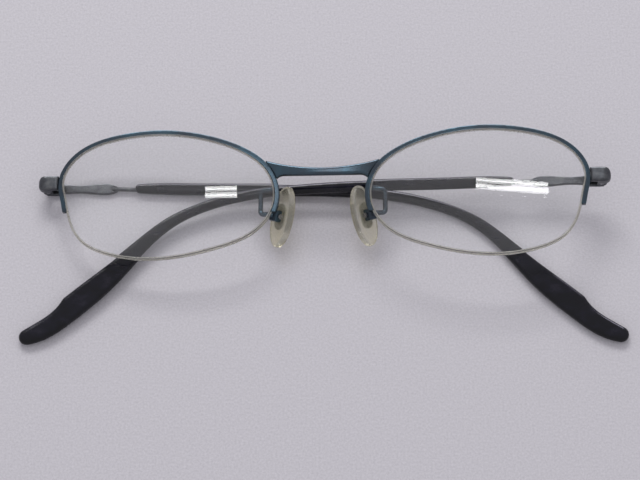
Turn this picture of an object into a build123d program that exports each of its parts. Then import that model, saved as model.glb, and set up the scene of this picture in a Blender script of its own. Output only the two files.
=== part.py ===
from build123d import *
import math
import os

# Half-rim metal eyeglasses, folded, lying on their folded temples with the front face up.
# Millimetres, +Z up. X runs along the front, Y points to the brow side of the lenses.
# Three working frames are used and each part is made in the frame that it belongs to:
#   lens frame    X away from the nose, Y to the brow, Z out of the front of the lens
#   front frame   the same axes, with its origin midway between the two lenses
#   temple frame  origin on the hinge axis (Y), temple folded along -X, its outer face towards -Z
# The right side (+X) is modelled, and the left side is its mirror image.

# ---- lenses and rims ----
LENS_GAP = 20.6            # between the two lens edges at the nose
LENS_WIDTH = 48.9
LENS_CENTRE_X = (LENS_GAP + LENS_WIDTH) / 2
LENS_CURVE_RADIUS = 150.0  # outer surface, about a four dioptre curve
LENS_THICKNESS = 2.0
LENS_EDGE_SAG = 1.6        # height of the lens middle over the plane of the front
FACE_FORM_DEG = 2.3        # each lens is turned back about Y towards the temples
LENS_OUTLINE = [
    (24.35, 3.2), (23.2, 9.4), (19.0, 13.0), (10.8, 15.4), (1.5, 15.95), (-8.4, 14.45),
    (-17.0, 11.2), (-22.3, 6.7), (-24.0, 0.5), (-20.7, -6.5), (-11.4, -11.3), (0.5, -13.6),
    (11.5, -12.7), (20.0, -8.6),
]
OUTLINE_STEPS = 28         # points that a parallel of the outline is drawn through
FAR = 20.0                 # reaches past the front on every side, for shapes that only cut or trim
RIM_WIDTH = 1.1            # across the lens plane
RIM_DEPTH = 1.3            # front to back
RIM_END_OUTER = (30.0, -1.4)   # the rim stops on the line through these two points
RIM_END_INNER = (-30.0, -3.2)
GROOVE_DEPTH = 0.4         # in the lens edge, and in the inside of the rim
GROOVE_WIDTH = 0.6
CORD_IN_RIM = 2.0          # length of nylon cord hidden in the rim at each end

# ---- bridge ----
BRIDGE_TOP = [(-13.0, 9.55), (-8.0, 8.05), (0.0, 7.15), (8.0, 8.05), (13.0, 9.55)]
BRIDGE_BOTTOM = [(-8.7, 5.6), (0.0, 5.35), (8.7, 5.6)]
BRIDGE_FOOT = (10.7, 3.9)  # each end of the lower edge curves down to here, inside the rim
BRIDGE_DEPTH = 1.4
BRIDGE_BOW_RADIUS = 60.0
BRIDGE_FRONT_Z = 1.35      # foremost point of the bowed bridge
BRIDGE_ROUND = 0.35        # of its long edges

# ---- end pieces and hinges, in the front frame ----
HINGE_X = 63.0
HINGE_Y = 5.5
HINGE_Z = -5.2
END_PIECE_HEIGHT = 3.4
END_PIECE_SIDE_ROUND = 1.3 # of the outer end, seen from the front
END_PIECE_START = 58.0     # buried in the rim, which trims it
END_PIECE_REACH = 65.0
END_PIECE_FRONT_Z = -1.6
END_PIECE_PLATE = 1.2
END_PIECE_CORNER = 1.7
END_PIECE_FOOT_GAP = 0.85  # between the hinge axis and the foot that the temple stops on
KNUCKLE_RADIUS = 1.1
KNUCKLE_HEIGHT = 0.9       # the one middle knuckle, on the temple
KNUCKLE_GAP = 0.04
KNUCKLE_TOTAL = 2.7
LEAF_THICKNESS = 0.75      # the strap of the front leaf, on the end piece's foot
SCREW_RADIUS = 0.45
SCREW_CLEARANCE = 0.04
SCREW_HEAD_RADIUS = 0.8
SCREW_HEAD_HEIGHT = 0.35
SCREW_SLOT = 0.2

# ---- temples, in the temple frame ----
BLADE_OUTER_Z = -2.0
BLADE_THICKNESS = 0.9
BLADE_EDGE = [(0.6, 1.15), (-3.0, 1.12), (-7.2, 0.84), (-11.0, 1.12), (-13.6, 1.22), (-15.4, 0.75)]
BLADE_TIP_BULGE = 0.55
LEAF_REACH = 4.2           # the temple leaf's strap along the inside of the blade
LEAF_STRAP = 0.5
WIRE_RADIUS = 0.48
WIRE_Z = -1.3
WIRE_PATH = [
    (-14.6, 0.0), (-40.0, -0.2), (-60.0, -0.35), (-76.2, -1.45), (-88.8, -4.3), (-97.5, -8.4),
    (-104.7, -14.5), (-111.6, -21.6), (-119.0, -28.6),
]
SLEEVE_THICKNESS = 2.0
SLEEVE_BOTTOM_Z = -2.15
SLEEVE_START_BULGE = 0.5   # the rounded front end of the sleeve
SLEEVE_BEVEL = 0.45
SLEEVE_UPPER = [
    (-20.4, 0.95), (-24.0, 1.2), (-34.0, 1.2), (-52.0, 1.1), (-70.0, 0.3), (-82.7, -1.4),
    (-92.5, -4.45), (-98.1, -7.2), (-105.0, -12.6), (-111.7, -18.5), (-118.2, -23.8), (-121.7, -26.7),
]
SLEEVE_NOTCH = [(-121.7, -26.7), (-124.3, -30.1), (-127.4, -32.3), (-130.0, -33.9)]
SLEEVE_END = (-131.3, -36.0)
SLEEVE_LOWER = [
    (-128.6, -37.5), (-123.3, -35.3), (-118.9, -31.9), (-114.4, -28.0), (-109.8, -23.4),
    (-105.0, -17.6), (-101.0, -13.0), (-95.6, -8.6), (-90.0, -5.9), (-82.0, -3.6), (-70.0, -1.95),
    (-52.0, -1.5), (-34.0, -1.5), (-24.0, -1.2), (-20.4, -0.95),
]

# ---- nose pads, in the front frame ----
PAD_CENTRE = (9.2, -2.8, -4.3)
PAD_SPLAY_DEG = 43.0       # the back edge stands further out than the front edge
PAD_UP = (-3.2, 14.0, 4.6)
PAD_LENGTH = 14.0
PAD_WIDTH = 6.8
PAD_THICKNESS = 2.0
PAD_ROUND = 0.8
INSERT_LENGTH = 6.0
INSERT_WIDTH = 3.2
INSERT_THICKNESS = 0.6
STUD_WIDTH = 1.1
STUD_RADIUS = 0.7
PAD_PIVOT = 1.6            # from the middle of the pad to the axis that it rocks on
BOX_WALL = 0.45
BOX_LENGTH = 2.6
BOX_GAP = 0.08             # between the stud and each wall of the box
BOX_FLOOR = 0.8            # from the pivot to the inside of the floor
BOX_LIP = 0.4              # from the pivot to the open edge of the walls
BOX_ROUND = 0.4
PAD_SCREW_RADIUS = 0.35
PAD_SCREW_HEAD_RADIUS = 0.6
PAD_SCREW_HEAD_HEIGHT = 0.3
ARM_RADIUS = 0.45
ARM_ROUTE = [(10.2, 3.1, -1.5), (11.2, 3.3, -3.1), (14.1, 3.0, -3.5), (14.2, -2.4, -3.9)]
ARM_BEND = 0.8

# ---- how the folded glasses lie ----
PANTOSCOPIC_DEG = 6.0
OUTER_AXIS_HEIGHT = -SLEEVE_BOTTOM_Z   # the outer temple lies flat on the table
INNER_AXIS_HEIGHT = 8.2                # the inner temple slopes down to its tip
FRONT_TILT_DEG = math.degrees(math.asin((INNER_AXIS_HEIGHT - OUTER_AXIS_HEIGHT) / (2 * HINGE_X)))
TIP_HEIGHT = 0.02                      # of the inner temple's tip over the table
INNER_DROP = INNER_AXIS_HEIGHT + SLEEVE_BOTTOM_Z + TIP_HEIGHT
INNER_SLOPE_DEG = math.degrees(math.asin(INNER_DROP / -SLEEVE_END[0]))


def mirrored(shape):
    return shape.mirror(Plane.YZ)


def slab(low, high):
    """A box from its lowest and highest corners."""
    size = [h - l for l, h in zip(low, high)]
    return Pos(*low) * Box(*size, align=(Align.MIN, Align.MIN, Align.MIN))


def rod(start, end, radius):
    """A round bar between two points."""
    axis = Vector(*end) - Vector(*start)
    return Solid.make_cylinder(radius, axis.length, Plane(origin=start, z_dir=axis))


# ---- lens frame ----
def lens_frame():
    return Pos(LENS_CENTRE_X, 0, 0) * Rot(0, FACE_FORM_DEG, 0)


def outline_face(grow):
    """The lens outline, grown outwards by a distance."""
    line = Spline(*LENS_OUTLINE, periodic=True)
    steps = [i / OUTLINE_STEPS for i in range(OUTLINE_STEPS)]
    grown = [(line @ t) + (line % t).cross(Vector(0, 0, 1)) * grow for t in steps]
    return make_face(Spline(*grown, periodic=True))


def dome(depth_in_front, prism):
    """The part of a prism behind a spherical surface parallel to the front of the lens."""
    centre_z = LENS_EDGE_SAG - LENS_CURVE_RADIUS
    return prism & (Pos(0, 0, centre_z) * Sphere(LENS_CURVE_RADIUS + depth_in_front))


def curved_band(inner, outer, front, back):
    """A band that follows the lens outline and its curve, from two growths and two depths."""
    prism = extrude(outline_face(outer) - outline_face(inner), amount=FAR, both=True)
    return dome(front, prism) - dome(back, prism)


def above_rim_ends(shift):
    """Everything to the brow side of the line that the rim ends on, moved down by a shift."""
    (x1, y1), (x2, y2) = RIM_END_OUTER, RIM_END_INNER
    corners = [(x1, y1 - shift), (x2, y2 - shift), (x2, FAR), (x1, FAR)]
    return extrude(make_face(Polyline(*corners, close=True)), amount=FAR, both=True)


def groove_band(inner, outer):
    middle = -LENS_THICKNESS / 2
    return curved_band(inner, outer, middle + GROOVE_WIDTH / 2, middle - GROOVE_WIDTH / 2)


def lens():
    blank = extrude(outline_face(0), amount=FAR, both=True)
    blank = dome(0, blank) - dome(-LENS_THICKNESS, blank)
    return blank - groove_band(-GROOVE_DEPTH, 1)


def rim():
    middle = -LENS_THICKNESS / 2
    ring = curved_band(0, RIM_WIDTH, middle + RIM_DEPTH / 2, middle - RIM_DEPTH / 2)
    ring = ring & above_rim_ends(0)
    return ring - groove_band(-1, GROOVE_DEPTH)


def rim_liner():
    """The nylon strip in the groove between the rim and the lens."""
    return groove_band(-GROOVE_DEPTH, GROOVE_DEPTH) & above_rim_ends(-CORD_IN_RIM)


def nylon_cord():
    """The cord that holds the lower edge of the lens, with its ends tucked into the rim."""
    return groove_band(-GROOVE_DEPTH, GROOVE_WIDTH - GROOVE_DEPTH) - above_rim_ends(-CORD_IN_RIM)


def rim_outside():
    """All that lies within the rim's outer outline, for trimming what is brazed to the rim."""
    return lens_frame() * extrude(outline_face(RIM_WIDTH), amount=FAR, both=True)


# ---- front frame ----
def bridge():
    foot_x, foot_y = BRIDGE_FOOT
    left_foot, right_foot = (-foot_x, foot_y), (foot_x, foot_y)
    lower = ThreePointArc(*BRIDGE_BOTTOM)
    outline = [
        Spline(*BRIDGE_TOP), lower,
        TangentArc(lower @ 0, left_foot, tangent=lower % 0 * -1),
        TangentArc(lower @ 1, right_foot, tangent=lower % 1),
        Line(BRIDGE_TOP[0], left_foot), Line(BRIDGE_TOP[-1], right_foot),
    ]
    bar = extrude(make_face(outline), amount=FAR, both=True)
    bow = Pos(0, 0, BRIDGE_FRONT_Z - BRIDGE_BOW_RADIUS) * Rot(90, 0, 0)
    tube = Cylinder(BRIDGE_BOW_RADIUS, 2 * FAR) - Cylinder(BRIDGE_BOW_RADIUS - BRIDGE_DEPTH, 2 * FAR)
    bar = bar & (bow * tube)
    trim = rim_outside()
    bar = bar - trim - mirrored(trim)
    return fillet(bar.edges().filter_by(lambda e: e.length > LENS_GAP / 2), BRIDGE_ROUND)


def hinge_axis():
    """From the front frame to a frame whose Y is the hinge axis, square to the folded temple."""
    return Pos(HINGE_X, HINGE_Y, HINGE_Z) * Rot(-PANTOSCOPIC_DEG, 0, 0)


def knuckle(low, high, radius):
    return rod((0, low, 0), (0, high, 0), radius)


def middle_knuckle_room():
    half = KNUCKLE_HEIGHT / 2 + KNUCKLE_GAP
    return knuckle(-half, half, KNUCKLE_RADIUS + 2 * KNUCKLE_GAP)


def end_piece():
    """The bent lug between the rim and the hinge, with the foot that the open temple stops on."""
    foot_z = HINGE_Z + END_PIECE_FOOT_GAP
    inner_x = HINGE_X - KNUCKLE_RADIUS
    top, low = END_PIECE_FRONT_Z, END_PIECE_FRONT_Z - END_PIECE_PLATE
    corners = [
        (END_PIECE_START, 0, top), (END_PIECE_REACH, 0, top), (END_PIECE_REACH, 0, foot_z),
        (inner_x, 0, foot_z), (inner_x, 0, low), (END_PIECE_START, 0, low),
    ]
    side = make_face(Polyline(*corners, close=True))
    bent = Pos(0, HINGE_Y, 0) * extrude(side, amount=END_PIECE_HEIGHT / 2, both=True)
    across = bent.edges().filter_by(Axis.Y)
    bent = fillet(across.sort_by(lambda e: e.center().X + e.center().Z)[-1], END_PIECE_CORNER)
    length = END_PIECE_REACH - END_PIECE_START
    plan = Pos(END_PIECE_START, HINGE_Y) * Rectangle(2 * length, END_PIECE_HEIGHT)
    block = bent & extrude(fillet(plan.vertices(), END_PIECE_SIDE_ROUND), amount=FAR, both=True)
    return block - rim_outside() - hinge_axis() * middle_knuckle_room() - front_hinge_leaf()


def front_hinge_leaf():
    """The two outer knuckles and the strap that joins them to the end piece."""
    half, room = KNUCKLE_TOTAL / 2, KNUCKLE_HEIGHT / 2 + KNUCKLE_GAP
    both = knuckle(-half, -room, KNUCKLE_RADIUS) + knuckle(room, half, KNUCKLE_RADIUS)
    low, high = END_PIECE_FOOT_GAP, END_PIECE_FOOT_GAP + LEAF_THICKNESS
    strap = slab((-KNUCKLE_RADIUS, -half, low), (KNUCKLE_RADIUS, half, high))
    leaf = both + strap - middle_knuckle_room() - knuckle(-FAR, FAR, SCREW_RADIUS)
    return hinge_axis() * leaf


def hinge_screw():
    half = KNUCKLE_TOTAL / 2
    top = half + SCREW_HEAD_HEIGHT
    head = knuckle(half, top, SCREW_HEAD_RADIUS)
    slot = slab((-FAR, top - SCREW_SLOT, -SCREW_SLOT / 2), (FAR, top + FAR, SCREW_SLOT / 2))
    return hinge_axis() * (head + knuckle(-half, half, SCREW_RADIUS) - slot)


# ---- nose pads ----
def pad_frame():
    """X across the pad from front to back, Y along it to the brow, Z towards the rim."""
    splay = math.radians(PAD_SPLAY_DEG)
    up = Vector(*PAD_UP).normalized()
    across = Vector(math.sin(splay), 0, -math.cos(splay))
    across = (across - up * across.dot(up)).normalized()
    return Plane(origin=PAD_CENTRE, x_dir=across, z_dir=across.cross(up)).location


def across_pad(start, end, radius):
    """A round bar on the axis that the pad rocks on, in the pad frame."""
    return rod((start, 0, PAD_PIVOT), (end, 0, PAD_PIVOT), radius)


def pad_insert():
    """The stiff core of the pad, with the stud that is screwed into the box."""
    plate = extrude(SlotOverall(INSERT_LENGTH, INSERT_WIDTH, rotation=90), amount=INSERT_THICKNESS)
    stud = slab((-STUD_WIDTH / 2, -STUD_RADIUS, 0), (STUD_WIDTH / 2, STUD_RADIUS, PAD_PIVOT))
    end = across_pad(-STUD_WIDTH / 2, STUD_WIDTH / 2, STUD_RADIUS)
    hole = across_pad(-FAR, FAR, PAD_SCREW_RADIUS + SCREW_CLEARANCE)
    return pad_frame() * (plate + stud + end - hole)


def nose_pad():
    body = extrude(Ellipse(PAD_WIDTH / 2, PAD_LENGTH / 2), amount=PAD_THICKNESS / 2, both=True)
    body = fillet(body.edges(), PAD_ROUND)
    return pad_frame() * body - pad_insert()


def pad_box():
    """The open box on the end of the arm, which the pad's stud rocks in."""
    inner = STUD_WIDTH / 2 + BOX_GAP
    outer = inner + BOX_WALL
    low, floor = PAD_PIVOT - BOX_LIP, PAD_PIVOT + BOX_FLOOR
    half = BOX_LENGTH / 2
    box = slab((-outer, -half, low), (outer, half, floor + BOX_WALL))
    box = fillet(box.edges().filter_by(Axis.X), BOX_ROUND)
    box = box - slab((-inner, -FAR, -FAR), (inner, FAR, floor))
    return pad_frame() * (box - across_pad(-FAR, FAR, PAD_SCREW_RADIUS))


def pad_screw():
    outer = STUD_WIDTH / 2 + BOX_GAP + BOX_WALL
    shank = across_pad(-outer, outer, PAD_SCREW_RADIUS)
    head = across_pad(-outer - PAD_SCREW_HEAD_HEIGHT, -outer, PAD_SCREW_HEAD_RADIUS)
    return pad_frame() * (shank + head)


def pad_arm():
    """The bent wire from the back of the rim to the pad box."""
    floor_middle = PAD_PIVOT + BOX_FLOOR + BOX_WALL / 2
    seat = (pad_frame() * Pos(0, 0, floor_middle)).position
    path = FilletPolyline(*ARM_ROUTE, seat, radius=ARM_BEND)
    wire = sweep(Plane(path @ 0, z_dir=path % 0) * Circle(ARM_RADIUS), path=path)
    trimmed = wire - lens_frame() * rim() - pad_box()
    return trimmed.solids().sort_by(SortBy.VOLUME)[-1]


# ---- temple frame ----
def temple_blade():
    """The flat metal front of the temple, waisted and ending in a rounded paddle."""
    mirrored_edge = [(x, -y) for x, y in reversed(BLADE_EDGE)]
    tip = ThreePointArc(BLADE_EDGE[-1], (BLADE_EDGE[-1][0] - BLADE_TIP_BULGE, 0), mirrored_edge[0])
    butt = Line(mirrored_edge[-1], BLADE_EDGE[0])
    face = make_face([Spline(*BLADE_EDGE), tip, Spline(*mirrored_edge), butt])
    blade = Pos(0, 0, BLADE_OUTER_Z) * extrude(face, amount=BLADE_THICKNESS)
    return blade - temple_wire() - knuckle(-FAR, FAR, KNUCKLE_RADIUS)


def temple_hinge_leaf():
    """The middle knuckle with the strap that lies on the inside of the blade."""
    half = KNUCKLE_HEIGHT / 2
    inside = BLADE_OUTER_Z + BLADE_THICKNESS
    barrel = knuckle(-half, half, KNUCKLE_RADIUS)
    strap = slab((-LEAF_REACH, -half, inside), (0, half, inside + LEAF_STRAP))
    return barrel + strap - knuckle(-FAR, FAR, SCREW_RADIUS + SCREW_CLEARANCE)


def temple_wire():
    """The spring wire from the blade through the sleeve to the tip."""
    path = Spline(*[(x, y, WIRE_Z) for x, y in WIRE_PATH])
    return sweep(Plane(path @ 0, z_dir=path % 0) * Circle(WIRE_RADIUS), path=path)


def temple_sleeve():
    """The one-piece plastic sleeve and ear tip."""
    upper = Spline(*SLEEVE_UPPER)
    notch = Spline(*SLEEVE_NOTCH)
    tip = ThreePointArc(SLEEVE_NOTCH[-1], SLEEVE_END, SLEEVE_LOWER[0])
    lower = Spline(*SLEEVE_LOWER)
    bulge = (SLEEVE_UPPER[0][0] + SLEEVE_START_BULGE, 0)
    front = ThreePointArc(SLEEVE_LOWER[-1], bulge, SLEEVE_UPPER[0])
    face = make_face([upper, notch, tip, lower, front])
    bar = Pos(0, 0, SLEEVE_BOTTOM_Z) * extrude(face, amount=SLEEVE_THICKNESS)
    long_edges = bar.edges().filter_by(lambda e: e.length > 2 * SLEEVE_THICKNESS)
    return chamfer(long_edges, SLEEVE_BEVEL) - temple_wire()


# ---- the whole object ----
def front_placement():
    """The tilted front, at the height that puts each hinge axis where its temple needs it."""
    turn = Rot(PANTOSCOPIC_DEG, 0, 0) * Rot(0, -FRONT_TILT_DEG, 0)
    corner = turn * Pos(-HINGE_X, HINGE_Y, HINGE_Z)
    return Pos(0, 0, OUTER_AXIS_HEIGHT - corner.position.Z) * turn


def temple_placement(side):
    """Where a temple frame goes: side is +1 for the right hinge and -1 for the left."""
    axis = front_placement() * Pos(side * HINGE_X, HINGE_Y, HINGE_Z)
    slope = -INNER_SLOPE_DEG if side > 0 else 0
    return Pos(*axis.position) * Rot(0, slope, 0)


FRONT_PARTS = {
    "end_piece": end_piece,
    "front_hinge_leaf": front_hinge_leaf,
    "hinge_screw": hinge_screw,
    "pad_arm": pad_arm,
    "pad_box": pad_box,
    "pad_screw": pad_screw,
    "nose_pad": nose_pad,
    "pad_insert": pad_insert,
}
LENS_PARTS = {
    "lens": lens,
    "rim": rim,
    "rim_liner": rim_liner,
    "nylon_cord": nylon_cord,
}
TEMPLE_PARTS = {
    "temple_blade": temple_blade,
    "temple_hinge_leaf": temple_hinge_leaf,
    "temple_wire": temple_wire,
    "temple_sleeve": temple_sleeve,
}


def assembly():
    """Every node by its name, placed as the folded glasses lie."""
    front = front_placement()
    nodes = {"bridge": front * bridge()}
    for name, make in FRONT_PARTS.items():
        piece = make()
        nodes[f"{name}_right"] = front * piece
        nodes[f"{name}_left"] = front * mirrored(piece)
    for name, make in LENS_PARTS.items():
        piece = lens_frame() * make()
        nodes[f"{name}_right"] = front * piece
        nodes[f"{name}_left"] = front * mirrored(piece)
    for name, make in TEMPLE_PARTS.items():
        piece = make()
        nodes[f"{name}_right"] = temple_placement(1) * piece
        nodes[f"{name}_left"] = temple_placement(-1) * mirrored(piece)
    return nodes


def centred(nodes):
    """Moves everything so that the origin is under the middle of the whole."""
    boxes = [piece.bounding_box() for piece in nodes.values()]
    low = [min(getattr(box.min, axis) for box in boxes) for axis in "XYZ"]
    high = [max(getattr(box.max, axis) for box in boxes) for axis in "XYZ"]
    shift = Pos(-(low[0] + high[0]) / 2, -(low[1] + high[1]) / 2, -low[2])
    return shift, {name: shift * piece for name, piece in nodes.items()}


def report_joints(shift):
    """Prints each joint's point and axis, for the record."""
    for name, side in (("right", 1), ("left", -1)):
        axis = shift * temple_placement(side)
        print("temple", name, [round(v, 5) for v in axis.position], "axis Y")
        pivot = pad_frame() * Pos(0, 0, PAD_PIVOT)
        point, across = pivot.position, pivot.x_axis.direction
        mirror_point = Pos(side * point.X, point.Y, point.Z)
        mirror_end = Pos(side * (point.X + across.X), point.Y + across.Y, point.Z + across.Z)
        base = shift * front_placement()
        start, end = (base * mirror_point).position, (base * mirror_end).position
        print("pad", name, [round(v, 5) for v in start], [round(v, 6) for v in end - start])


def main():
    os.makedirs("parts", exist_ok=True)
    shift, nodes = centred(assembly())
    for name, piece in nodes.items():
        export_step(piece, f"parts/{name}.step")
    report_joints(shift)


main()
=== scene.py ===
import math

import bmesh
import bpy
from mathutils import Matrix, Vector


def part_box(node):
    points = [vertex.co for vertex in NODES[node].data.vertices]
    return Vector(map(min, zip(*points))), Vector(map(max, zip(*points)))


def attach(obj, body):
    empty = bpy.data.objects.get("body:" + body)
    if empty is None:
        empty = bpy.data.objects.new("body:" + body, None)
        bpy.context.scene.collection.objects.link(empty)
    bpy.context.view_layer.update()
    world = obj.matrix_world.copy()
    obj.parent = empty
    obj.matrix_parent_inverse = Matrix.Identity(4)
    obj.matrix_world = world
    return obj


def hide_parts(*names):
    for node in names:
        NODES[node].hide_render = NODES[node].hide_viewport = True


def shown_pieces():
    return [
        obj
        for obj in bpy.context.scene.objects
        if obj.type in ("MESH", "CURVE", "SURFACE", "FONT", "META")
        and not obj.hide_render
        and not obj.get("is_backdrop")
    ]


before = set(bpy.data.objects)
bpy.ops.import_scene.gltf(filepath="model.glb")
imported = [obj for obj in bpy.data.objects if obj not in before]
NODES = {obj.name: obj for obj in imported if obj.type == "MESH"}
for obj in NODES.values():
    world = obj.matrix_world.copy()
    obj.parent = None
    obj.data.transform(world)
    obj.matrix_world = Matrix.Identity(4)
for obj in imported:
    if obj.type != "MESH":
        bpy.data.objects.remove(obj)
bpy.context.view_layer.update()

SCENE = bpy.context.scene
MM = 0.001
SIDES = ("left", "right")

# ---- camera ----
CAMERA_TARGET = Vector((-0.9, 1.5, 0.0)) * MM
CAMERA_AZIMUTH = math.radians(1.86)
CAMERA_ELEVATION = math.radians(66.0)
CAMERA_ROLL = math.radians(-1.75)
CAMERA_DISTANCE = 0.567
CAMERA_LENS = 140.2        # in millimetres, like the sensor's width
CAMERA_SENSOR = 36.0
CAMERA_NEAREST = 0.01      # nothing closer than this is drawn

# ---- softening of machined edges: (voxel size, smoothing passes) ----
RIM_SOFTNESS = (0.10 * MM, 6)
METAL_SOFTNESS = (0.10 * MM, 12)
BRIDGE_SOFTNESS = (0.11 * MM, 40)
LUG_SOFTNESS = (0.11 * MM, 90)
ARM_SOFTNESS = (0.10 * MM, 6)
ARM_SWELL = 0.10 * MM      # the pad arms are shown this much thicker all round than the CAD wire
SLEEVE_SOFTNESS = (0.16 * MM, 36)
PAD_SOFTNESS = (0.14 * MM, 10)
CORD_SOFTNESS = (0.07 * MM, 14)
SMOOTHING_STEP = 0.5       # the share of the way to its neighbours that a vertex moves in one pass

# ---- the ear tips are worn rounder than the rest of the sleeve ----
TIP_PASSES = 110
TIP_REACH = (14 * MM, 3 * MM)   # the extra rounding fades in between these distances from the end

# ---- lenses ----
SAME_VERTEX = 0.001 * MM   # vertices closer than this are joined
CROWDED = 50               # more edges than this at a vertex make a spot that shades badly
SHARP_ANGLE = math.radians(30)
LENS_EDGE_FACING = 0.7     # the surface is the ground edge where its normal has less than this along Z

# ---- the share of the lamps' light that comes straight through ----
LENS_SHADE = (0.99, 0.99, 0.99)
LENS_EDGE_SHADE = (0.45, 0.45, 0.45)
PAD_SHADE = (0.93, 0.91, 0.84)


# ---------------------------------------------------------------- mesh helpers
def softened(node, softness, body, swell=0.0):
    """A piece that replaces a CAD node: its shape, grown by swell, with the sharp edges worn round."""
    voxel, passes = softness
    source = NODES[node]
    piece = bpy.data.objects.new(f"{node}_shell", source.data.copy())
    SCENE.collection.objects.link(piece)
    if swell > 0:
        thicker = piece.modifiers.new("swell", "DISPLACE")
        thicker.strength = swell
        thicker.mid_level = 0.0
    remesh = piece.modifiers.new("remesh", "REMESH")
    remesh.mode = "VOXEL"
    remesh.voxel_size = voxel
    remesh.use_smooth_shade = True
    smooth = piece.modifiers.new("smooth", "SMOOTH")
    smooth.factor = SMOOTHING_STEP
    smooth.iterations = passes
    apply_modifiers(piece)
    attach(piece, body)
    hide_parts(node)
    return piece


def polished(node, body):
    """A piece that replaces a lens node, without the vertex where the slivers of its sphere meet."""
    source = NODES[node]
    mesh = source.data.copy()
    shape = bmesh.new()
    shape.from_mesh(mesh)
    bmesh.ops.remove_doubles(shape, verts=shape.verts, dist=SAME_VERTEX)
    crowded = [vertex for vertex in shape.verts if len(vertex.link_edges) > CROWDED]
    bmesh.ops.dissolve_verts(shape, verts=crowded)
    shape.to_mesh(mesh)
    shape.free()
    if "custom_normal" in mesh.attributes:
        mesh.attributes.remove(mesh.attributes["custom_normal"])
    mesh.shade_smooth()
    mesh.set_sharp_from_angle(angle=SHARP_ANGLE)
    piece = bpy.data.objects.new(f"{node}_shell", mesh)
    SCENE.collection.objects.link(piece)
    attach(piece, body)
    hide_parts(node)
    return piece


def round_tip(piece, node, away):
    """Wears the ear tip of a sleeve rounder; away is 1 or -1, the direction along X of the tip."""
    low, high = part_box(node)
    tip = high[0] if away > 0 else low[0]
    group = piece.vertex_groups.new(name="tip")
    far, near = TIP_REACH
    for vertex in piece.data.vertices:
        distance = abs((piece.matrix_world @ vertex.co).x - tip)
        weight = (far - distance) / (far - near)
        if weight > 0:
            group.add([vertex.index], min(weight, 1.0), "REPLACE")
    smooth = piece.modifiers.new("tip", "SMOOTH")
    smooth.factor = SMOOTHING_STEP
    smooth.iterations = TIP_PASSES
    smooth.vertex_group = group.name
    apply_modifiers(piece)


def apply_modifiers(piece):
    """Bakes a piece's modifiers into its mesh."""
    graph = bpy.context.evaluated_depsgraph_get()
    mesh = bpy.data.meshes.new_from_object(piece.evaluated_get(graph))
    piece.modifiers.clear()
    piece.data = mesh


def dress(piece, material):
    """Gives a piece one material all over."""
    slots = piece.data.materials
    if len(slots) == 0:
        slots.append(material)
    for slot in piece.material_slots:
        slot.material = material


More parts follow.
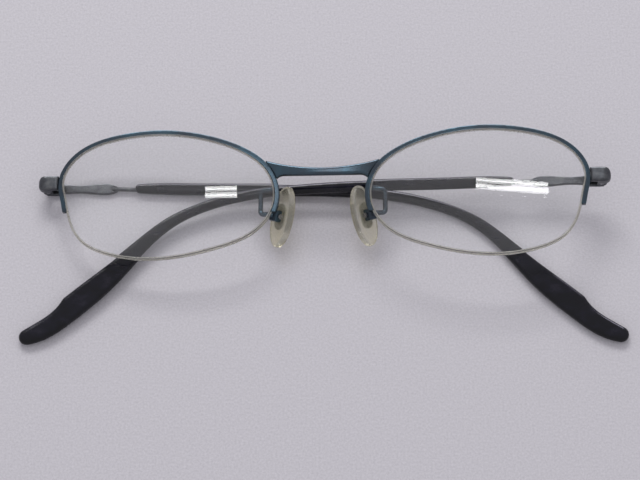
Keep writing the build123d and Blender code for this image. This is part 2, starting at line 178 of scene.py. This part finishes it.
# ---------------------------------------------------------------- material helpers
class Recipe:
    """A node material, with short calls for the nodes that the materials below share."""

    def __init__(self, name):
        self.material = bpy.data.materials.new(name)
        self.material.use_nodes = True
        self.nodes = self.material.node_tree.nodes
        self.links = self.material.node_tree.links
        self.shader = self.nodes["Principled BSDF"]
        self.output = self.nodes["Material Output"]
        self.place = self.nodes.new("ShaderNodeTexCoord").outputs["Object"]

    def set(self, **values):
        """Sets plain values on the shader's own sockets."""
        for name, value in values.items():
            self.shader.inputs[name.replace("_", " ")].default_value = value

    def join(self, source, target):
        """Links an output socket to an input socket."""
        self.links.new(source, target)

    def feed(self, value, target):
        """Fills an input socket from an output socket, a plain number or a colour."""
        if isinstance(value, bpy.types.NodeSocket):
            self.join(value, target)
        elif isinstance(value, tuple):
            target.default_value = (*value, 1.0)
        else:
            target.default_value = value

    def calculate(self, operation, *values):
        """One step of arithmetic."""
        node = self.nodes.new("ShaderNodeMath")
        node.operation = operation
        for socket, value in zip(node.inputs, values):
            self.feed(value, socket)
        return node.outputs["Value"]

    def noise(self, size, detail, roughness=0.55, stretch=(1, 1, 1)):
        """A noise whose features are about size across, and finer along an axis that is stretched."""
        mapping = self.nodes.new("ShaderNodeMapping")
        mapping.inputs["Scale"].default_value = stretch
        self.join(self.place, mapping.inputs["Vector"])
        node = self.nodes.new("ShaderNodeTexNoise")
        node.inputs["Scale"].default_value = 1 / size
        node.inputs["Detail"].default_value = detail
        node.inputs["Roughness"].default_value = roughness
        self.join(mapping.outputs["Vector"], node.inputs["Vector"])
        return node.outputs["Fac"]

    def ramp(self, source, *stops):
        """A colour ramp from (place, colour) stops."""
        node = self.nodes.new("ShaderNodeValToRGB")
        elements = node.color_ramp.elements
        while len(elements) < len(stops):
            elements.new(0.5)
        for element, (place, colour) in zip(elements, stops):
            element.position = place
            element.color = (*colour, 1.0)
        self.join(source, node.inputs["Fac"])
        return node.outputs["Color"]

    def spread(self, source, low, high):
        """Maps 0 to 1 onto low to high."""
        node = self.nodes.new("ShaderNodeMapRange")
        node.inputs["To Min"].default_value = low
        node.inputs["To Max"].default_value = high
        self.join(source, node.inputs["Value"])
        return node.outputs["Result"]

    def blend(self, factor, first, second):
        """A mix of two colours by a factor."""
        node = self.nodes.new("ShaderNodeMix")
        node.data_type = "RGBA"
        self.join(factor, node.inputs["Factor"])
        sockets = [s for s in node.inputs if s.type == "RGBA"]
        for socket, value in zip(sockets, (first, second)):
            self.feed(value, socket)
        return [s for s in node.outputs if s.type == "RGBA"][0]

    def facing(self, blend):
        """Rises from 0 where the surface faces the view to 1 along its outline."""
        node = self.nodes.new("ShaderNodeLayerWeight")
        node.inputs["Blend"].default_value = blend
        return node.outputs["Facing"]

    def bump(self, source, height):
        """Raises the surface by up to height metres where the source is bright."""
        node = self.nodes.new("ShaderNodeBump")
        node.inputs["Strength"].default_value = 1.0
        node.inputs["Distance"].default_value = height
        self.join(source, node.inputs["Height"])
        self.join(node.outputs["Normal"], self.shader.inputs["Normal"])

    def end_in_mix(self, factor, first, second):
        """Makes a mix of two shaders the surface of the material."""
        mix = self.nodes.new("ShaderNodeMixShader")
        self.join(factor, mix.inputs["Fac"])
        self.join(first, mix.inputs[1])
        self.join(second, mix.inputs[2])
        self.join(mix.outputs["Shader"], self.output.inputs["Surface"])

    def let_lamps_through(self, colour):
        """Lets light through unbent, tinted by a colour, so that what is behind stays lit."""
        clear = self.nodes.new("ShaderNodeBsdfTransparent")
        self.feed(colour, clear.inputs["Color"])
        path = self.nodes.new("ShaderNodeLightPath").outputs
        either = self.calculate("MAXIMUM", path["Is Shadow Ray"], path["Is Diffuse Ray"])
        surface = self.output.inputs["Surface"].links[0].from_socket
        self.end_in_mix(either, surface, clear.outputs["BSDF"])


# ---------------------------------------------------------------- materials
def slate_metal():
    """Blue-grey plated titanium, on the rims, bridge, pad arms and pad boxes, with painted shade darkening
    it along its outline.
    """
    r = Recipe("slate_plated_titanium")
    plating = r.ramp(r.noise(5 * MM, 4), (0.3, (0.054, 0.062, 0.076)), (0.7, (0.056, 0.104, 0.138)))
    # painted shade: the colour darkens to a dark blue-grey along the outline, where the surface turns away
    # from the view
    edge = r.blend(r.facing(0.35), plating, (0.022, 0.026, 0.038))
    r.join(edge, r.shader.inputs["Base Color"])
    r.join(r.spread(r.noise(0.5 * MM, 5), 0.14, 0.26), r.shader.inputs["Roughness"])
    r.set(Metallic=0.9, Coat_Weight=0.15, Coat_Roughness=0.2)
    r.bump(r.noise(0.35 * MM, 4), 0.006 * MM)
    return r.material


def satin_metal():
    """Grey satin titanium with faint mottling, on the end pieces and the temples' metal, with painted shade
    darkening it along its outline.
    """
    r = Recipe("satin_grey_titanium")
    mottle = r.noise(1.6 * MM, 5, 0.65)
    colour = r.ramp(
        mottle, (0.32, (0.060, 0.060, 0.066)), (0.5, (0.088, 0.092, 0.100)), (0.68, (0.130, 0.132, 0.136))
    )
    # painted shade: the mottled colour darkens to a dark blue-grey along the outline, where the surface
    # turns away from the view
    r.join(r.blend(r.facing(0.3), colour, (0.04, 0.045, 0.06)), r.shader.inputs["Base Color"])
    r.join(r.spread(r.noise(0.4 * MM, 4, 0.6, (1, 4, 4)), 0.24, 0.4), r.shader.inputs["Roughness"])
    r.set(Metallic=0.85)
    r.bump(r.noise(0.25 * MM, 3, 0.6, (1, 5, 5)), 0.008 * MM)
    return r.material


def screw_steel():
    """Bright turned steel, on the screws of the hinges and the pad boxes."""
    r = Recipe("turned_screw_steel")
    colour = r.ramp(r.noise(0.8 * MM, 3), (0.3, (0.20, 0.20, 0.21)), (0.7, (0.34, 0.34, 0.35)))
    r.join(colour, r.shader.inputs["Base Color"])
    r.join(r.spread(r.noise(0.2 * MM, 3), 0.2, 0.35), r.shader.inputs["Roughness"])
    r.set(Metallic=1.0)
    r.bump(r.noise(0.12 * MM, 2), 0.004 * MM)
    return r.material


def insert_metal():
    """Dull metal, on the stiff core inside each pad."""
    r = Recipe("dull_pad_core")
    colour = r.ramp(r.noise(1.0 * MM, 3), (0.3, (0.26, 0.26, 0.23)), (0.7, (0.40, 0.40, 0.36)))
    r.join(colour, r.shader.inputs["Base Color"])
    r.join(r.spread(r.noise(0.3 * MM, 3), 0.35, 0.5), r.shader.inputs["Roughness"])
    r.set(Metallic=0.7)
    r.bump(r.noise(0.2 * MM, 2), 0.005 * MM)
    return r.material


def black_sleeve():
    """Glossy black plastic with a violet cast and faint marbling."""
    r = Recipe("black_sleeve_plastic")
    veins = r.noise(2.6 * MM, 6, 0.62, (0.6, 1, 1))
    colour = r.ramp(
        veins, (0.44, (0.0025, 0.0025, 0.0045)), (0.56, (0.004, 0.004, 0.008)), (0.68, (0.011, 0.010, 0.016))
    )
    r.join(colour, r.shader.inputs["Base Color"])
    r.join(r.spread(r.noise(0.9 * MM, 5), 0.10, 0.20), r.shader.inputs["Roughness"])
    r.set(Specular_IOR_Level=0.30)
    r.bump(r.noise(0.7 * MM, 4), 0.004 * MM)
    return r.material


def clear_lens():
    """Polished clear plastic, with a duller shader where the lens has its ground edge."""
    r = Recipe("clear_lens")
    r.set(Base_Color=(0.985, 0.99, 0.99, 1), IOR=1.5, Transmission_Weight=1.0)
    r.join(r.spread(r.noise(7 * MM, 5), 0.0, 0.012), r.shader.inputs["Roughness"])
    r.bump(r.noise(20 * MM, 1), 0.004 * MM)
    edge = r.nodes.new("ShaderNodeBsdfPrincipled")
    edge.inputs["Base Color"].default_value = (0.86, 0.86, 0.84, 1)
    edge.inputs["Roughness"].default_value = 0.18
    edge.inputs["Transmission Weight"].default_value = 0.85
    split = r.nodes.new("ShaderNodeSeparateXYZ")
    r.join(r.nodes["Texture Coordinate"].outputs["Normal"], split.inputs["Vector"])
    upright = r.calculate("ABSOLUTE", split.outputs["Z"])
    sideways = r.calculate("LESS_THAN", upright, LENS_EDGE_FACING)
    r.end_in_mix(sideways, r.shader.outputs["BSDF"], edge.outputs["BSDF"])
    r.let_lamps_through(r.blend(sideways, LENS_SHADE, LENS_EDGE_SHADE))
    return r.material


def nylon():
    """Clear nylon line, a little yellowed."""
    r = Recipe("nylon_line")
    colour = r.ramp(r.noise(5 * MM, 3), (0.3, (0.60, 0.57, 0.50)), (0.7, (0.74, 0.72, 0.66)))
    r.join(colour, r.shader.inputs["Base Color"])
    r.join(r.spread(r.noise(0.6 * MM, 3), 0.2, 0.4), r.shader.inputs["Roughness"])
    r.set(Transmission_Weight=0.72, IOR=1.53)
    r.bump(r.noise(0.3 * MM, 3), 0.005 * MM)
    return r.material


def silicone():
    """Soft translucent silicone, yellowed most where it is thick along its edge."""
    r = Recipe("yellowed_silicone")
    age = r.ramp(r.noise(2.2 * MM, 4), (0.35, (0.97, 0.94, 0.79)), (0.65, (0.99, 0.98, 0.92)))
    r.join(r.blend(r.facing(0.35), age, (0.86, 0.78, 0.47)), r.shader.inputs["Base Color"])
    r.join(r.spread(r.noise(0.8 * MM, 4), 0.16, 0.32), r.shader.inputs["Roughness"])
    r.set(Transmission_Weight=0.88, IOR=1.41)
    r.bump(r.noise(0.5 * MM, 4), 0.012 * MM)
    r.let_lamps_through(PAD_SHADE)
    return r.material


# ---------------------------------------------------------------- pieces
def build_pieces():
    """Gives every CAD node its material, and most of them a copy with worn edges that replaces them."""
    slate = slate_metal()
    satin = satin_metal()
    steel = screw_steel()
    core = insert_metal()
    sleeve = black_sleeve()
    lens = clear_lens()
    line = nylon()
    pad = silicone()
    dress(softened("bridge", BRIDGE_SOFTNESS, "front"), slate)
    for side in SIDES:
        temple = f"{side}_temple"
        tip_direction = 1 if side == "left" else -1
        dress(softened(f"rim_{side}", RIM_SOFTNESS, "front"), slate)
        dress(softened(f"end_piece_{side}", LUG_SOFTNESS, "front"), satin)
        dress(softened(f"temple_blade_{side}", METAL_SOFTNESS, temple), satin)
        cover = softened(f"temple_sleeve_{side}", SLEEVE_SOFTNESS, temple)
        round_tip(cover, f"temple_sleeve_{side}", tip_direction)
        dress(cover, sleeve)
        dress(softened(f"nose_pad_{side}", PAD_SOFTNESS, f"{side}_nose_pad"), pad)
        dress(softened(f"nylon_cord_{side}", CORD_SOFTNESS, "front"), line)
        dress(polished(f"lens_{side}", "front"), lens)
        dress(NODES[f"rim_liner_{side}"], line)
        dress(NODES[f"pad_insert_{side}"], core)
        wire = softened(f"pad_arm_{side}", ARM_SOFTNESS, "front", ARM_SWELL)
        dress(wire, slate)
        dress(NODES[f"pad_box_{side}"], slate)
        for node in ("front_hinge_leaf", "temple_hinge_leaf", "temple_wire"):
            dress(NODES[f"{node}_{side}"], satin)
        for node in ("hinge_screw", "pad_screw"):
            dress(NODES[f"{node}_{side}"], steel)


# ---------------------------------------------------------------- stage
MIDDLE = Vector((0.0, 0.0, 0.0))
DOWN = Vector((0.0, 0.0, -1.0))
FLOOR_SIZE = 4.0
FLOOR_DROP = 0.02 * MM     # the floor lies this far below the object
FLOOR_COLOUR = (0.620, 0.604, 0.644)
FLOOR_GRAIN = (0.74, 1.26)      # the darkest and the lightest grain, as shares of the colour
WORLD_COLOUR = (0.80, 0.79, 0.83)
WORLD_STRENGTH = 0.71
KEY_LIGHT = Vector((-0.15, 1.08, 0.95))
KEY_SIZE = (0.9, 0.45)
KEY_WATTS = 8.6
KEY_COLOUR = (1.0, 0.99, 0.98)

# ---- panels that light only some pieces: (starts of their names, place, size, watts, colour) ----
METAL_PIECES = ("bridge", "rim_left", "rim_right", "end_piece", "temple_blade")
BACK_PANEL = Vector((0.0, 1.2, 0.6))
BACK_PANEL_SIZE = (1.4, 0.5)
TOP_PANEL = Vector((0.0, 0.42, 1.6))
TOP_PANEL_SIZE = (0.45, 0.22)
GLINTS = [
    (("temple_sleeve",), BACK_PANEL, BACK_PANEL_SIZE, 20.0, (0.84, 0.80, 1.0)),
    (METAL_PIECES, BACK_PANEL, BACK_PANEL_SIZE, 14.0, (0.93, 0.97, 1.0)),
    (METAL_PIECES, TOP_PANEL, TOP_PANEL_SIZE, 1.1, (0.92, 0.97, 1.0)),
]

# ---- the pair of ceiling tubes that each lens mirrors: (side, middle of the pair, length, watts) ----
TUBE_HEIGHT = 1.6
TUBE_WIDTH = 0.025
TUBE_SPACING = 0.040
TUBE_COLOUR = (1.0, 1.0, 1.0)
TUBES = [
    ("left", (-0.133, 0.417), 0.178, 0.19),
    ("right", (0.290, 0.439), 0.408, 0.42),
]


def floor_material():
    """Plain pale sheet with a fine grain."""
    r = Recipe("pale_sheet")
    grain = r.spread(r.noise(0.50 * MM, 3, 0.7), *FLOOR_GRAIN)
    speckled = r.nodes.new("ShaderNodeVectorMath")
    speckled.operation = "SCALE"
    speckled.inputs[0].default_value = FLOOR_COLOUR
    r.join(grain, speckled.inputs["Scale"])
    r.join(speckled.outputs["Vector"], r.shader.inputs["Base Color"])
    r.join(r.spread(r.noise(1.2 * MM, 4), 0.45, 0.6), r.shader.inputs["Roughness"])
    r.bump(r.noise(0.8 * MM, 4), 0.035 * MM)
    return r.material


def make_floor():
    """A square sheet under the object."""
    mesh = bpy.data.meshes.new("floor")
    shape = bmesh.new()
    bmesh.ops.create_grid(shape, x_segments=1, y_segments=1, size=FLOOR_SIZE / 2)
    shape.to_mesh(mesh)
    shape.free()
    floor = bpy.data.objects.new("floor", mesh)
    SCENE.collection.objects.link(floor)
    floor.location.z = -FLOOR_DROP
    mesh.materials.append(floor_material())
    floor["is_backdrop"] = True


def area_light(name, place, aim, size, watts, colour):
    """A rectangular lamp at a place, turned towards aim, that the camera doesn't see itself."""
    data = bpy.data.lights.new(name, "AREA")
    data.shape = "RECTANGLE"
    data.size, data.size_y = size
    data.energy = watts
    data.color = colour
    lamp = bpy.data.objects.new(name, data)
    SCENE.collection.objects.link(lamp)
    lamp.location = place
    lamp.rotation_euler = (aim - place).to_track_quat("-Z", "Y").to_euler()
    lamp.visible_camera = False
    return lamp


def make_surround():
    """Even light from all around."""
    world = bpy.data.worlds.new("soft_room")
    world.use_nodes = True
    sky = world.node_tree.nodes["Background"]
    sky.inputs["Color"].default_value = (*WORLD_COLOUR, 1.0)
    sky.inputs["Strength"].default_value = WORLD_STRENGTH
    SCENE.world = world


def light_only(lamp, pieces, name):
    """Limits a lamp to some of the pieces."""
    lit = bpy.data.collections.new(name)
    for piece in pieces:
        lit.objects.link(piece)
    lamp.light_linking.receiver_collection = lit


def make_glints():
    """The panels that bring out the metal and the sleeves."""
    for starts, place, size, watts, colour in GLINTS:
        panel = area_light("glint", place, MIDDLE, size, watts, colour)
        chosen = [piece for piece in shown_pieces() if piece.name.startswith(starts)]
        light_only(panel, chosen, "lit_by_glint")


def make_tubes():
    """The pair of tubes that shows in each lens."""
    for side, (x, y), length, watts in TUBES:
        lens = bpy.data.objects[f"lens_{side}_shell"]
        for row in (-0.5, 0.5):
            place = Vector((x, y + row * TUBE_SPACING, TUBE_HEIGHT))
            tube = area_light(f"tube_{side}", place, place + DOWN, (length, TUBE_WIDTH), watts, TUBE_COLOUR)
            light_only(tube, [lens], f"lit_by_tubes_{side}")


def make_camera():
    """The camera, looking down on the object from the front."""
    data = bpy.data.cameras.new("camera")
    data.lens = CAMERA_LENS
    data.sensor_width = CAMERA_SENSOR
    data.clip_start = CAMERA_NEAREST
    camera = bpy.data.objects.new("camera", data)
    SCENE.collection.objects.link(camera)
    flat = math.cos(CAMERA_ELEVATION)
    back = Vector((
        math.sin(CAMERA_AZIMUTH) * flat, -math.cos(CAMERA_AZIMUTH) * flat, math.sin(CAMERA_ELEVATION)
    ))
    camera.location = CAMERA_TARGET + back * CAMERA_DISTANCE
    level = back.to_track_quat("Z", "Y").to_matrix()
    camera.rotation_mode = "QUATERNION"
    camera.rotation_quaternion = (level @ Matrix.Rotation(CAMERA_ROLL, 3, "Z")).to_quaternion()
    SCENE.camera = camera


SCENE.view_settings.view_transform = "Standard"
build_pieces()
make_floor()
make_surround()
area_light("key", KEY_LIGHT, MIDDLE, KEY_SIZE, KEY_WATTS, KEY_COLOUR)
make_glints()
make_tubes()
make_camera()
